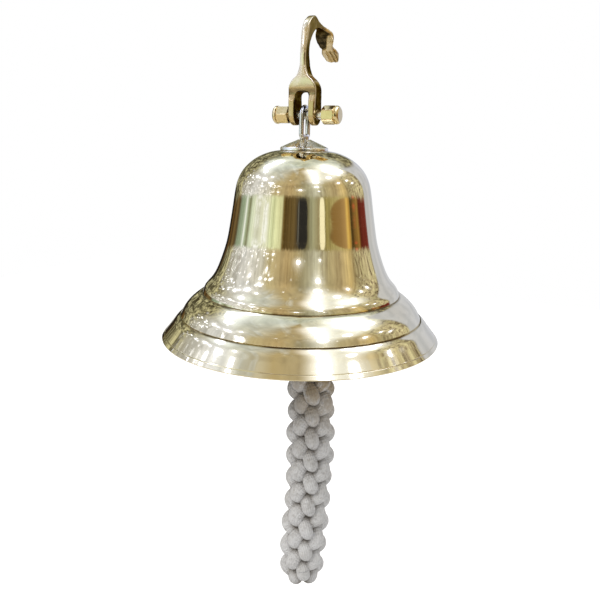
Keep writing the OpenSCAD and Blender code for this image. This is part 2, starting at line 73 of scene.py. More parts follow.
# Camera at the photograph's angle: 25 degrees round to the right and a little above
CAM_TURN = math.radians(25)
CAM_PITCH = math.radians(13.7)
CAM_ROLL = math.radians(1.3)
CAM_PLACE = (0.19525, -0.43632, -0.059)
CAM_LENS_MM = 39.0
CAM_SENSOR_MM = 36.0
CAM_SHIFT = -0.0013
TOWARDS_CAM = np.array([math.sin(CAM_TURN), -math.cos(CAM_TURN), 0])
IMAGE_RIGHT = np.array([math.cos(CAM_TURN), math.sin(CAM_TURN), 0])


def add_camera():
    forward = Vector(-TOWARDS_CAM * math.cos(CAM_PITCH) - UP * math.sin(CAM_PITCH))
    right = Vector(IMAGE_RIGHT)
    up = right.cross(forward)
    rolled_right = right * math.cos(CAM_ROLL) + up * math.sin(CAM_ROLL)
    rolled_up = up * math.cos(CAM_ROLL) - right * math.sin(CAM_ROLL)
    data = bpy.data.cameras.new("camera")
    data.lens = CAM_LENS_MM
    data.sensor_width = CAM_SENSOR_MM
    data.shift_x = CAM_SHIFT
    data.clip_start = 0.01
    camera = bpy.data.objects.new("camera", data)
    scene.collection.objects.link(camera)
    turn = Matrix((rolled_right, rolled_up, -forward)).transposed().to_4x4()
    camera.matrix_world = Matrix.Translation(CAM_PLACE) @ turn
    scene.camera = camera


add_camera()


# Mesh builders

def make_object(name, verts, faces, body, materials=(), sharp=None):
    """A smooth-shaded mesh that rides on a body. Edges over `sharp` degrees stay sharp."""
    mesh = bpy.data.meshes.new(name)
    mesh.from_pydata(row(verts).tolist(), [], [list(map(int, f)) for f in faces])
    mesh.validate()
    bm = bmesh.new()
    bm.from_mesh(mesh)
    bmesh.ops.recalc_face_normals(bm, faces=bm.faces)
    bm.to_mesh(mesh)
    bm.free()
    mesh.shade_smooth()
    if sharp is not None:
        mesh.set_sharp_from_angle(angle=math.radians(sharp))
    obj = bpy.data.objects.new(name, mesh)
    scene.collection.objects.link(obj)
    for material in materials:
        mesh.materials.append(material)
    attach(obj, body)
    return obj


def grid_faces(rings, around, close_rings=False, first=0):
    """Quads between rings of points, each ring closed on itself."""
    faces = []
    for i in range(rings if close_rings else rings - 1):
        a, b = first + i * around, first + (i + 1) % rings * around
        for k in range(around):
            n = (k + 1) % around
            faces.append((a + k, a + n, b + n, b + k))
    return faces


def lathe(profile, around):
    """Points and faces of a ring-shaped profile of (radius, height) turned about the bell's axis."""
    profile = np.asarray(profile, float)
    turn = np.linspace(0, 2 * math.pi, around, endpoint=False)
    verts = [(r * math.cos(a), r * math.sin(a), z) for r, z in profile for a in turn]
    return np.array(verts), grid_faces(len(profile), around, close_rings=True)


def frames_along(path, closed=False, start=(1.0, 0.0, 0.0)):
    """Two cross directions at each point of a path, without twist."""
    path = np.asarray(path, float)
    if closed:
        tangent = np.roll(path, -1, 0) - np.roll(path, 1, 0)
    else:
        tangent = np.gradient(path, axis=0)
    tangent /= np.linalg.norm(tangent, axis=1)[:, None]
    side = np.array(start, float)
    one, two = [], []
    for t in tangent:
        side = side - t * (side @ t)
        side /= np.linalg.norm(side)
        one.append(side)
        two.append(np.cross(t, side))
    return np.array(one), np.array(two)


def tube(path, radius, around=24, closed=False, start=(1.0, 0.0, 0.0), section=None):
    """Points and faces of a tube. section(k, angles) returns factors of its radius round ring k."""
    path = np.asarray(path, float)
    radius = np.broadcast_to(np.asarray(radius, float), (len(path),))
    one, two = frames_along(path, closed, start)
    angles = np.linspace(0, 2 * math.pi, around, endpoint=False)
    rings = []
    for k, centre in enumerate(path):
        r = radius[k] * (np.ones(around) if section is None else section(k, angles))
        rings.append(centre + np.outer(r * np.cos(angles), one[k]) + np.outer(r * np.sin(angles), two[k]))
    faces = grid_faces(len(path), around, close_rings=closed)
    if not closed:
        last = (len(path) - 1) * around
        faces.append(tuple(range(around - 1, -1, -1)))
        faces.append(tuple(range(last, last + around)))
    return np.vstack(rings), faces


def join(parts):
    """Several (points, faces) as one."""
    verts, faces, base = [], [], 0
    for v, f in parts:
        verts.append(v)
        faces += [tuple(base + i for i in face) for face in f]
        base += len(v)
    return np.vstack(verts), faces


def spline(points, steps):
    """A smooth line through the points, as part.scad's curve() draws it, with more steps."""
    p = np.asarray(points, float)
    out = []
    for i in range(len(p) - 1):
        a, b, c, d = p[max(i - 1, 0)], p[i], p[i + 1], p[min(i + 2, len(p) - 1)]
        for k in range(steps):
            t = k / steps
            out.append(0.5 * (2 * b + (c - a) * t + (2 * a - 5 * b + 4 * c - d) * t ** 2
                              + (3 * b - a - 3 * c + d) * t ** 3))
    out.append(p[-1])
    return np.array(out)


def run_along(path):
    """How far along a path each of its points is."""
    return np.concatenate([[0], np.cumsum(np.linalg.norm(np.diff(path, axis=0), axis=1))])


def smooth_line(points, step):
    """A line through the points whose bend changes without jumps, so that it mirrors without seams."""
    p = np.asarray(points, float)
    t = run_along(p)
    h = np.diff(t)
    size = len(p)
    system, right = np.eye(size), np.zeros_like(p)
    for i in range(1, size - 1):
        system[i, i - 1:i + 2] = h[i - 1], 2 * (h[i - 1] + h[i]), h[i]
        right[i] = 6 * ((p[i + 1] - p[i]) / h[i] - (p[i] - p[i - 1]) / h[i - 1])
    bend = np.linalg.solve(system, right)
    at = np.linspace(0, t[-1], int(t[-1] / step) + 1)
    k = np.clip(np.searchsorted(t, at, side="right") - 1, 0, size - 2)
    a, b = ((t[k + 1] - at) / h[k])[:, None], ((at - t[k]) / h[k])[:, None]
    bent = (a ** 3 - a) * bend[k] + (b ** 3 - b) * bend[k + 1]
    return a * p[k] + b * p[k + 1] + bent * h[k][:, None] ** 2 / 6


def beside(points, t):
    """The line moved sideways by t, to its right as it is followed."""
    p = np.asarray(points, float)
    d = np.array([p[min(i + 1, len(p) - 1)] - p[max(i - 1, 0)] for i in range(len(p))])
    return p + t * np.stack([d[:, 1], -d[:, 0]], 1) / np.linalg.norm(d, axis=1)[:, None]


# Node helpers

class Nodes:
    """Short calls for building one node tree."""

    def __init__(self, tree):
        self.tree = tree
        tree.nodes.clear()

    def add(self, kind, settings=None, **inputs):
        node = self.tree.nodes.new(kind)
        for key, value in (settings or {}).items():
            setattr(node, key, value)
        for key, value in inputs.items():
            self.put(node, key.replace("_", " "), value)
        return node

    def put(self, node, key, value):
        socket = node.inputs[key]
        if isinstance(value, bpy.types.NodeSocket):
            self.tree.links.new(value, socket)
        else:
            socket.default_value = value

    def math(self, operation, a, b=0.0, c=0.0, clamp=False):
        node = self.add("ShaderNodeMath", {"operation": operation, "use_clamp": clamp})
        for i, value in enumerate((a, b, c)):
            self.put(node, i, value)
        return node.outputs[0]

    def times(self, a, b):
        return self.math("MULTIPLY", a, b)

    def minus(self, a, b):
        return self.math("SUBTRACT", a, b)

    def abs(self, value):
        return self.math("ABSOLUTE", value)

    def vector(self, operation, a, b=(0, 0, 0)):
        node = self.add("ShaderNodeVectorMath", {"operation": operation})
        self.put(node, 0, a)
        self.put(node, 1, b)
        return node.outputs["Value" if operation in ("DOT_PRODUCT", "DISTANCE") else "Vector"]

    def scaled(self, vector, scale):
        return self.vector("MULTIPLY", vector, scale)

    def joined(self, x, y, z):
        return self.add("ShaderNodeCombineXYZ", X=x, Y=y, Z=z).outputs[0]

    def split(self, vector):
        return self.add("ShaderNodeSeparateXYZ", Vector=vector).outputs

    def attribute(self, name, output="Fac"):
        return self.add("ShaderNodeAttribute", {"attribute_name": name}).outputs[output]

    def span(self, value, low, high, out_low=0.0, out_high=1.0, smooth=True):
        kind = "SMOOTHSTEP" if smooth else "LINEAR"
        node = self.add("ShaderNodeMapRange", {"interpolation_type": kind})
        for i, x in enumerate((value, low, high, out_low, out_high)):
            self.put(node, i, x)
        return node.outputs[0]

    def mix(self, share, a, b, blend="MIX"):
        node = self.add("ShaderNodeMix", {"data_type": "RGBA", "blend_type": blend, "clamp_factor": True})
        self.put(node, 0, share)
        for i, value in ((6, a), (7, b)):
            self.put(node, i, (*value, 1) if isinstance(value, tuple) and len(value) == 3 else value)
        return node.outputs[2]

    def noise(self, vector, scale, detail=2.0, roughness=0.5, distortion=0.0):
        return self.add("ShaderNodeTexNoise", Vector=vector, Scale=scale, Detail=detail,
                        Roughness=roughness, Distortion=distortion).outputs[0]

    def ramp(self, value, stops, mode="LINEAR"):
        node = self.add("ShaderNodeValToRGB", Fac=value)
        node.color_ramp.interpolation = mode
        elements = node.color_ramp.elements
        while len(elements) > 1:
            elements.remove(elements[-1])
        elements[0].position = stops[0][0]
        elements[0].color = (*stops[0][1], 1)
        for position, colour in stops[1:]:
            elements.new(position).color = (*colour, 1)
        return node.outputs[0]

    def bump(self, height, distance, normal=None, strength=1.0):
        node = self.add("ShaderNodeBump", Height=height, Distance=distance, Strength=strength)
        if normal is not None:
            self.put(node, "Normal", normal)
        return node.outputs[0]


def new_material(name):
    material = bpy.data.materials.new(name)
    material.use_nodes = True
    return material, Nodes(material.node_tree)


def mix_shaders(n, share, a, b):
    mixed = n.add("ShaderNodeMixShader")
    for i, value in enumerate((share, a.outputs[0], b.outputs[0])):
        n.put(mixed, i, value)
    return mixed


def finish_material(n, shader):
    out = n.add("ShaderNodeOutputMaterial")
    n.put(out, 0, shader.outputs[0])


def linear(colour):
    """Display colour, 0 to 1, as linear light."""
    return tuple(c / 12.92 if c <= 0.04045 else ((c + 0.055) / 1.055) ** 2.4 for c in colour)


# Materials

BELL_BRASS = (0.82, 0.70, 0.42)


def metal(name, tint, dark_tint, gloss, wave, grain, shade_and_pits=None, painted_shade=None):
    """Polished metal: two tones, uneven gloss, a slight waviness and the fine marks of polishing.

    gloss is (roughness, its spread), wave (height in mm, scale) and grain (height in mm, stretch, scale).
    An optional colour function may change the colour; the bell's paints shade in its grooves and under its
    cap, and adds pits. An optional ramp paints shade, dark reflection and glints, as much as a point
    attribute named like its argument asks.
    """
    roughness, rough_spread = gloss
    wave_mm, wave_scale = wave
    grain_mm, grain_stretch, grain_scale = grain
    material, n = new_material(name)
    place = n.add("ShaderNodeTexCoord").outputs["Object"]
    tone = n.span(n.noise(place, 38.0, 4.0, 0.6), 0.35, 0.7)
    colour = n.mix(tone, tint, dark_tint)
    # Painted shade in the bell's grooves and under its cap, and its pits
    if shade_and_pits:
        colour = shade_and_pits(n, place, colour)
    smears = n.noise(n.scaled(place, grain_stretch), grain_scale * 0.2, 3.0, 0.6)
    rough = n.span(smears, 0.3, 0.75, roughness, roughness + rough_spread)
    # Painted shade, dark reflection and glints on the hook, from its point attribute through the ramp
    if painted_shade:
        share = n.attribute("painted_shade")
        share = n.times(share, n.span(n.noise(place, 300.0, 3.0, 0.6), 0.25, 0.6, 0.8, 1.0))
        colour = n.mix(n.span(share, 0.0, 0.12), colour, n.ramp(share, painted_shade))
        rough = n.math("MULTIPLY_ADD", share, 0.2, rough)
    waves = n.bump(n.noise(place, wave_scale, 1.0, 0.4), wave_mm / 1000)
    grain = n.noise(n.scaled(place, grain_stretch), grain_scale, 2.0, 0.5)
    normal = n.bump(grain, grain_mm / 1000, waves)
    shader = n.add("ShaderNodeBsdfPrincipled", Metallic=1.0, Roughness=rough, Normal=normal)
    n.put(shader, "Base Color", colour)
    if painted_shade:
        n.put(shader, "Specular Tint", (0.50, 0.40, 0.24, 1))
    finish_material(n, shader)
    return material


# Heights over the lip, in mm, of the painted shade lines in the two grooves
UPPER_LINE_Z = 32.15
LOWER_LINE_Z = 15.9


def near(n, value, centre, half):
    """1 where the value is at the centre, falling to 0 at `half` from it."""
    return n.span(n.abs(n.minus(value, centre)), 0.0, half, 1.0, 0.0)


def bell_shade_and_pits(n, place, colour):
    """Painted shade in the two grooves and under the cap, and a few pits."""
    height = n.split(place)[2]
    # Painted shade along the step in each groove
    lines = n.math("MAXIMUM", near(n, height, row_z(UPPER_LINE_Z), 0.0006),
                   near(n, height, row_z(LOWER_LINE_Z), 0.0006))
    lines = n.times(lines, n.span(n.noise(place, 30.0, 2.0), 0.3, 0.6, 0.35, 1.0))
    # Painted shade under the cap's edge
    under_cap = n.times(near(n, height, row_z(BELL_H), 0.0012), 0.8)
    dark = n.times(n.math("MAXIMUM", lines, under_cap), 0.8)
    colour = n.mix(dark, colour, (0.16, 0.11, 0.045))
    cells = n.add("ShaderNodeTexVoronoi", {"feature": "F1"}, Vector=place, Scale=55.0)
    lot = n.add("ShaderNodeSeparateColor", Color=cells.outputs["Color"]).outputs[0]
    chosen = n.math("LESS_THAN", lot, 0.05)
    pit = n.times(chosen, n.span(cells.outputs["Distance"], 0.02, 0.05, 1.0, 0.0))
    return n.mix(pit, colour, (0.09, 0.07, 0.035))


brass_bell = metal("bell_brass_polished", BELL_BRASS, (0.77, 0.645, 0.375), (0.035, 0.06),
                   (0.10, 26.0), (0.0012, (2.0, 2.0, 60.0), 55.0), shade_and_pits=bell_shade_and_pits)
brass_inner = metal("bell_brass_inside", (0.50, 0.40, 0.22), (0.36, 0.28, 0.15), (0.34, 0.2),
                    (0.2, 40.0), (0.01, (2.0, 2.0, 60.0), 40.0))
brass_cap = metal("bell_brass_cap", (0.98, 0.93, 0.78), (0.88, 0.80, 0.60), (0.20, 0.14),
                  (0.12, 90.0), (0.006, (30.0, 30.0, 3.0), 40.0))
HOOK_BRASS = (0.84, 0.70, 0.44)
# Painted shade and dark reflection for the hook: brass, an orange-brown glint tone, dark brown, near black
HOOK_SHADE_RAMP = [(0.0, HOOK_BRASS), (0.3, (0.64, 0.46, 0.20)), (0.6, (0.26, 0.19, 0.085)),
                (1.0, (0.030, 0.022, 0.011))]
brass_hook = metal("hook_brass_cast", HOOK_BRASS, (0.68, 0.53, 0.30), (0.12, 0.12),
                   (0.9, 85.0), (0.012, (40.0, 40.0, 12.0), 26.0), painted_shade=HOOK_SHADE_RAMP)
brass_nut = metal("nut_brass_turned", (0.88, 0.70, 0.36), (0.74, 0.55, 0.24), (0.10, 0.1),
                  (0.22, 160.0), (0.006, (60.0, 6.0, 6.0), 60.0))
brass_ball = metal("ball_brass_satin", (0.62, 0.48, 0.25), (0.45, 0.34, 0.17), (0.26, 0.16),
                   (0.1, 90.0), (0.012, (8.0, 8.0, 40.0), 40.0))
steel = metal("steel_bright", (0.90, 0.85, 0.72), (0.74, 0.69, 0.58), (0.24, 0.12),
              (0.04, 150.0), (0.006, (20.0, 20.0, 60.0), 40.0))
steel_dull = metal("steel_zinc_plated", (0.58, 0.58, 0.57), (0.42, 0.42, 0.42), (0.28, 0.16),
                   (0.05, 150.0), (0.02, (20.0, 20.0, 60.0), 40.0))


def cotton(name, clean, worn_and_lit_edge, crevice):
    """Soft cotton yarn, with painted shade deep between strands and in the hollows of the weave. `depth` is
    1 in a crevice, and `yarn` is the place round and along the yarn.
    """
    material, n = new_material(name)
    place = n.add("ShaderNodeTexCoord").outputs["Object"]
    depth = n.attribute("depth")
    yarn = n.attribute("yarn", "Vector")
    part = n.split(yarn)
    turned = n.times(n.math("ARCTAN2", part[1], part[0]), 9.0)
    along = n.times(part[2], 1.8)
    weave = n.times(n.math("SINE", n.math("ADD", turned, along)), n.math("SINE", n.minus(turned, along)))
    patches = n.span(n.noise(place, 42.0, 3.0, 0.6), 0.42, 0.72)
    colour = n.mix(n.times(patches, 0.55), clean, worn_and_lit_edge)
    specks = n.span(n.noise(place, 900.0, 2.0, 0.6), 0.62, 0.78)
    colour = n.mix(n.times(specks, 0.25), colour, worn_and_lit_edge)
    # Painted shade in the hollows of the weave
    colour = n.mix(n.span(weave, -0.2, -0.9, 0.0, 0.16), colour, crevice)
    mottled = n.span(n.noise(place, 260.0, 4.0, 0.7), 0.46, 0.66)
    colour = n.mix(n.times(mottled, 0.34), colour, crevice)
    # Painted shade, warm and brown, on the rope's upper right under the bell's lip
    where = n.split(place)
    upper = n.times(n.span(where[2], -0.290, -0.215), n.span(where[0], -0.008, 0.014))
    upper = n.times(upper, n.span(n.noise(place, 120.0, 3.0, 0.6), 0.25, 0.55))
    colour = n.mix(upper, colour, (0.31, 0.23, 0.125))
    lower = n.span(where[2], -0.30, -0.38)
    colour = n.mix(n.times(lower, 0.22), colour, (0.76, 0.76, 0.765))
    # Painted shade deep in the crevices between strands
    colour = n.mix(n.span(depth, 0.2, 0.95), colour, crevice)
    fibres = n.noise(place, 750.0, 4.0, 0.7)
    normal = n.bump(weave, 0.00026)
    normal = n.bump(fibres, 0.0003, normal)
    shader = n.add("ShaderNodeBsdfPrincipled", Roughness=0.93, Normal=normal)
    n.put(shader, "Base Color", colour)
    n.put(shader, "Sheen Weight", 0.35)
    n.put(shader, "Sheen Roughness", 0.6)
    n.put(shader, "Specular IOR Level", 0.15)
    finish_material(n, shader)
    return material


# The third colour of each is the painted shade of the crevices
rope_cotton = cotton("rope_cotton_plait", (0.64, 0.635, 0.63), (0.47, 0.455, 0.43), (0.17, 0.145, 0.115))
twine_cotton = cotton("twine_cotton", (0.72, 0.69, 0.63), (0.58, 0.53, 0.45), (0.22, 0.18, 0.13))


# Rope: the route is part.scad's, in the bell's own frame

ROUTE = np.array([
    [0, 0, -8], [2.6, 1.2, -15], [5.2, 2.4, -23], [7.2, 3.4, -32], [8.4, 3.9, -42], [8.7, 4.1, -53],
    [8.9, 4.1, -65], [9, 4.2, -78], [8.9, 4.1, -91], [8.8, 4.1, -104], [8.6, 4, -117], [8.2, 3.8, -130],
    [7.6, 3.6, -143], [6.9, 3.2, -156], [6.3, 2.9, -169], [5.7, 2.6, -181], [5.2, 2.4, -193]], float)
ROPE_END = ROUTE[-1]
KNOT_LOW = ROPE_END[2] - 12
STRAND_END = KNOT_LOW + 0.7
# Four strands turn each way, and cross by swinging out and in from their lane. Angles are in degrees
STRANDS = 4
STRAND_TURN = 45
CROSSING_LAG = 11.5
FIRST_TURN = 4
LANE_R = 8.75
LANE_SWING = 3.55
STRAND_R = 5.75
SLIMMING = 0.55
LOBE_TOP_R = 16.6
CREVICE_R = 9.0
PLAIT_STEP = 0.62

# Heights at which the lobes of one set of strands come over, read down the rope's edge
OVER_HEIGHTS = np.array([-43, -61, -79, -98, -116.5, -136, -156, -176, -194], float)
OVER_LEVELS = 2.0 * np.arange(len(OVER_HEIGHTS))
LEVEL_STEP = 9.45


def level_of(z):
    """Levels of the plait, two to a lobe, at a height."""
    z = np.asarray(z, float)
    inside = np.interp(-z, -OVER_HEIGHTS, OVER_LEVELS)
    above = (OVER_HEIGHTS[0] - z) / LEVEL_STEP
    below = OVER_LEVELS[-1] + (OVER_HEIGHTS[-1] - z) / LEVEL_STEP
    return np.where(z > OVER_HEIGHTS[0], above, np.where(z < OVER_HEIGHTS[-1], below, inside))


LAY_NOISE = np.random.default_rng(11).uniform(0, 2 * math.pi, (2, STRANDS, 3))
LAY_PACES = (1.1, 0.83, 1.37)


def route_at(heights):
    return np.stack([np.interp(-heights, -ROUTE[:, 2], ROUTE[:, i]) for i in (0, 1)], 1)


def plait_strand(heights, sense, index, close_low):
    """Middle line and radius of one strand. Sense 1 turns to the right going down, -1 to the left."""
    level = level_of(heights)
    starts = LAY_NOISE[(sense + 1) // 2, index]
    wander = [np.sin(level * pace + start) for pace, start in zip(LAY_PACES, starts)]
    over = np.cos(math.pi * level) * sense
    turn = sense * STRAND_TURN * level - CROSSING_LAG * np.sin(math.pi * level)
    turn = np.radians(turn + 360 / STRANDS * index + FIRST_TURN + 3.5 * wander[0])
    slim = np.cos(turn) ** 4
    reach = LANE_R + LANE_SWING * over + 0.5 * wander[1]
    radius = STRAND_R - SLIMMING * slim + 0.25 * over + 0.3 * wander[2]
    centre = route_at(heights)
    if close_low:
        closing = np.clip((ROPE_END[2] - heights) / (ROPE_END[2] - STRAND_END), 0, 1)
        reach = reach * np.sqrt(1 - 0.96 * closing ** 2.4)
    out = np.outer(np.cos(turn) * reach, TOWARDS_CAM) + np.outer(np.sin(turn) * reach, IMAGE_RIGHT)
    return np.column_stack([centre + out[:, :2], heights]), radius


def yarn_places(run, around):
    """Where each point of a cord lies on it: round it as cosine and sine, and along it in mm."""
    angles = np.tile(np.linspace(0, 2 * math.pi, around, endpoint=False), len(run))
    return np.stack([np.cos(angles), np.sin(angles), np.repeat(run, around)], 1)


def add_attributes(obj, depth, yarn):
    a = obj.data.attributes.new("depth", "FLOAT", "POINT")
    a.data.foreach_set("value", np.asarray(depth, np.float32))
    b = obj.data.attributes.new("yarn", "FLOAT_VECTOR", "POINT")
    b.data.foreach_set("vector", np.asarray(yarn, np.float32).ravel())


def round_ends(line, radius, ends):
    """Radii that close a strand to a small round end, at its start, its end or both."""
    run = run_along(line)
    r = np.array(radius, float)
    if "start" in ends:
        d = np.clip(run / radius[0], 0.04, 1)
        r = r * np.sqrt(1 - (1 - d) ** 2)
    if "end" in ends:
        d = np.clip((run[-1] - run) / radius[-1], 0.04, 1)
        r = r * np.sqrt(1 - (1 - d) ** 2)
    return r


def crevice_depth(verts):
    """How deep a point of the plait lies below its outer surface, 0 to 1."""
    reach = np.hypot(*(verts[:, :2] - route_at(verts[:, 2])).T)
    return np.clip((LOBE_TOP_R - reach) / (LOBE_TOP_R - CREVICE_R), 0, 1)


def plait(name, top, low, close_low, ends):
    """Both sets of strands between two heights, as one mesh."""
    heights = np.linspace(top, low, max(int(abs(top - low) / PLAIT_STEP), 12))
    around = 40
    parts, yarns = [], []
    for sense in (1, -1):
        for index in range(STRANDS):
            line, radius = plait_strand(heights, sense, index, close_low)
            radius = round_ends(line, radius, ends)
            parts.append(tube(line, radius, around, start=(0.3, 0.9, 0.1)))
            yarns.append(yarn_places(run_along(line), around))
    verts, faces = join(parts)
    obj = make_object(name, verts, faces, "rope", [rope_cotton])
    add_attributes(obj, crevice_depth(verts), np.vstack(yarns))
    return obj


rope = plait("plaited_rope", ROUTE[0][2], ROPE_END[2], False, ("start",))
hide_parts("bell_rope")
knot = plait("plait_end", ROPE_END[2] + 0.6, STRAND_END, True, ("end",))
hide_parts("rope_end_knot")

LOOP_HALF = 6.5
LOOP_R = 3.0
LAID_DEPTH = 0.12
SEIZING_TURNS = 3


def laid_cord(path, radius, lay, around=30):
    """A cord of three laid strands along a path."""
    run = run_along(path)

    def section(k, angles):
        return 0.86 + 0.14 * np.abs(np.cos(1.5 * (angles - run[k] / lay)))
    verts, faces = tube(path, radius, around, start=(0.0, 1.0, 0.0), section=section)
    return verts, faces, yarn_places(run, around), np.repeat(LAID_DEPTH, len(verts))


def add_loop():
    """The rope's loop: a cord up one leg, round the tail eye and down the other."""
    low, high = own(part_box("rope_loop"))
    arc_z = high[2] - LOOP_HALF - LOOP_R
    leg = np.linspace(low[2], arc_z, 24, endpoint=False)
    bow = np.linspace(math.pi, 0, 40)
    path = [(-LOOP_HALF, 0, z) for z in leg]
    path += [(LOOP_HALF * math.cos(a), 0, arc_z + LOOP_HALF * math.sin(a)) for a in bow]
    path += [(LOOP_HALF, 0, z) for z in leg[::-1]]
    verts, faces, yarn, depth = laid_cord(path, LOOP_R, 4.2)
    obj = make_object("loop_cord", verts, faces, "rope", [twine_cotton])
    add_attributes(obj, depth, yarn)
    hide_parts("rope_loop")
    return obj


def add_seizing():
    """Twine wound round the two legs of the loop."""
    low, high = own(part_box("loop_seizing"))
    twine = (high[2] - low[2]) / 6
    reach = LOOP_R + twine + 0.1
    lap = []
    for side in (1, -1):
        turn = np.linspace(-math.pi / 2, math.pi / 2, 16)
        lap += [(side * (LOOP_HALF + reach * math.cos(a)), side * reach * math.sin(a)) for a in turn]
    xy = np.array(lap * SEIZING_TURNS)
    z = np.linspace(low[2] + twine, high[2] - twine, len(xy))
    verts, faces, yarn, depth = laid_cord(np.column_stack([xy, z]), twine, 1.6, 12)
    obj = make_object("twine_seizing", verts, faces, "rope", [twine_cotton])
    add_attributes(obj, depth, yarn)
    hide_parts("loop_seizing")
    return obj


loop = add_loop()
seizing = add_seizing()


# Bell

LIP_R = 100.0
WALL = 2.8
FLAT_R = 16.6
# Upper edges of the two grooves, as (radius, height)
UPPER = np.array([70.7, 32.7])
LOWER = np.array([86.5, 16.4])
GROOVE = 0.9
HOLE_R = 3.475
LIP_ROUND = 0.8
LINE_CUT = 0.15
# The fine turned line near the lip: its height, and its section as (along, depth)
LINE_Z = 3.4
LINE_SECTION = [(-0.34, 0), (-0.24, 0.02), (-0.12, 0.14), (0, 0.18), (0.12, 0.14), (0.24, 0.02), (0.34, 0)]

# (radius, height) down the outside
SHOULDER_LINE = [(FLAT_R, BELL_H), (22.4, 130.9), (28.0, 129.0), (33.3, 126.3), (37.8, 122.9),
                 (41.3, 119.3), (44.0, 115.2), (46.0, 110.6), (47.2, 106.0), (48.05, 101.2)]
NECK_LINE = [(49.58, 91.0), (51.2, 81.0), (53.25, 70.0)]


def bell_profile():
    """(outer line, inner line) as (radius, height), each from the crown down."""
    flare, bulge = UPPER + (-13.1, 23.3), UPPER + (-4.8, 7.6)
    body = smooth_line([*SHOULDER_LINE, *NECK_LINE, flare, bulge, UPPER + (-1, 2.9), UPPER], 0.55)
    run = LOWER - UPPER
    band = spline([UPPER + (0.75, -0.55), UPPER + run * (0.22, 0.13), UPPER + run * (0.55, 0.38),
                   UPPER + run * (0.81, 0.66), LOWER + (0, 0.4)], 9)
    lip = np.array([LIP_R, 0.0])
    run = lip - LOWER
    rim = spline([LOWER + (0.9, -0.5), LOWER + run * (0.28, 0.2), LOWER + run * (0.54, 0.48),
                  LOWER + run * (0.8, 0.75), lip + (0, LIP_ROUND)], 9)
    # Fine turned line near the lip
    at = int(np.argmin(np.abs(rim[:, 1] - LINE_Z)))
    slope = rim[at + 1] - rim[at - 1]
    slope /= np.linalg.norm(slope)
    normal = np.array([-slope[1], slope[0]])
    cut = [rim[at] + slope * x - normal * y for x, y in LINE_SECTION]
    rim = np.vstack([rim[:at], cut, rim[at + 1:]])
    turn = np.radians(np.linspace(0, -90, 6))[1:]
    edge = np.stack([LIP_R - LIP_ROUND + LIP_ROUND * np.cos(turn),
                     LIP_ROUND + LIP_ROUND * np.sin(turn)], 1)
    outer = np.vstack([[(HOLE_R, BELL_H)], [(FLAT_R - 1, BELL_H)], body, [UPPER + (-LINE_CUT, -0.5)], band,
                       [LOWER + (-LINE_CUT, -0.5)], rim, edge])
    half = run * (0.54, 0.48)
    guide = beside([*SHOULDER_LINE[1::2], *NECK_LINE[1::2], flare, bulge, UPPER + (-GROOVE, -0.8),
                    UPPER + (LOWER - UPPER) * (0.55, 0.38), LOWER + (-GROOVE, -0.7), LOWER + half,
                    (LIP_R, 0)], WALL)
    guide[-1][1] = 0
    inner = np.vstack([[(HOLE_R, BELL_H - WALL)], [(FLAT_R, BELL_H - WALL)], spline(guide, 6)])
    return outer, inner


def add_bell():
    outer, inner = bell_profile()
    profile = np.vstack([outer, inner[::-1]])
    around = 360
    verts, faces = lathe(profile, around)
    obj = make_object("bell", verts, faces, "bell", [brass_bell, brass_inner], sharp=32)
    rings = len(outer) - 1
    for i, face in enumerate(obj.data.polygons):
        face.material_index = 0 if i < rings * around else 1
    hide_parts("bell_shell")
    return obj


def add_cap():
    """Low cone under the eye, with its edges broken."""
    z = BELL_H
    profile = [(HOLE_R, z), (FLAT_R - 0.3, z), (FLAT_R, z + 0.3), (FLAT_R, z + 1.5),
               (FLAT_R - 0.15, z + 1.95), (FLAT_R - 0.7, z + 2.35), (FLAT_R - 1.2, z + 2.6),
               (10.4, z + 4.85), (5.1, z + 7.05), (4.7, z + 7.35), (4.2, z + 7.5), (HOLE_R, z + 7.5)]
    verts, faces = lathe(profile, 128)
    obj = make_object("crown_cone", verts, faces, "bell", [brass_cap], sharp=30)
    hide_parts("crown_cap")


def add_eye():
    """Eye bolt: one bent loop of wire on its shank."""
    wire, half, corner, shank = 1.7, 5.1, 2.3, 3.175
    arc_z, foot_z, stem_low = STUD_Z, 141.1, 112
    bow = np.radians(np.linspace(0, 180, 41))
    turn = np.radians(np.linspace(180, 270, 13))
    leg = np.linspace(arc_z, foot_z + corner, 12)[1:-1]
    path = [(0, half * math.cos(a), arc_z + half * math.sin(a)) for a in bow]
    path += [(0, -half, z) for z in leg]
    foot = [(corner * math.cos(a), foot_z + corner + corner * math.sin(a)) for a in turn]
    path += [(0, corner - half + y, z) for y, z in foot]
    path += [(0, half - corner - y, z) for y, z in foot[::-1]]
    path += [(0, half, z) for z in leg[::-1]]
    loop_part = tube(path, wire, 28, closed=True)
    stem = [(0, 0, z) for z in np.linspace(foot_z + 0.4, stem_low, 8)]
    stem_part = tube(stem, shank, 32)
    obj = make_object("eye_bolt", *join([loop_part, stem_part]), "bell", [steel], sharp=40)
    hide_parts("crown_eye")


NUT_FLATS = 11.1
NUT_CORNER = NUT_FLATS / 2 / math.cos(math.radians(30))
NUT_X = 12.8
STUD_SHIFT = 1.4
STUD_HOLE_R = 3.02


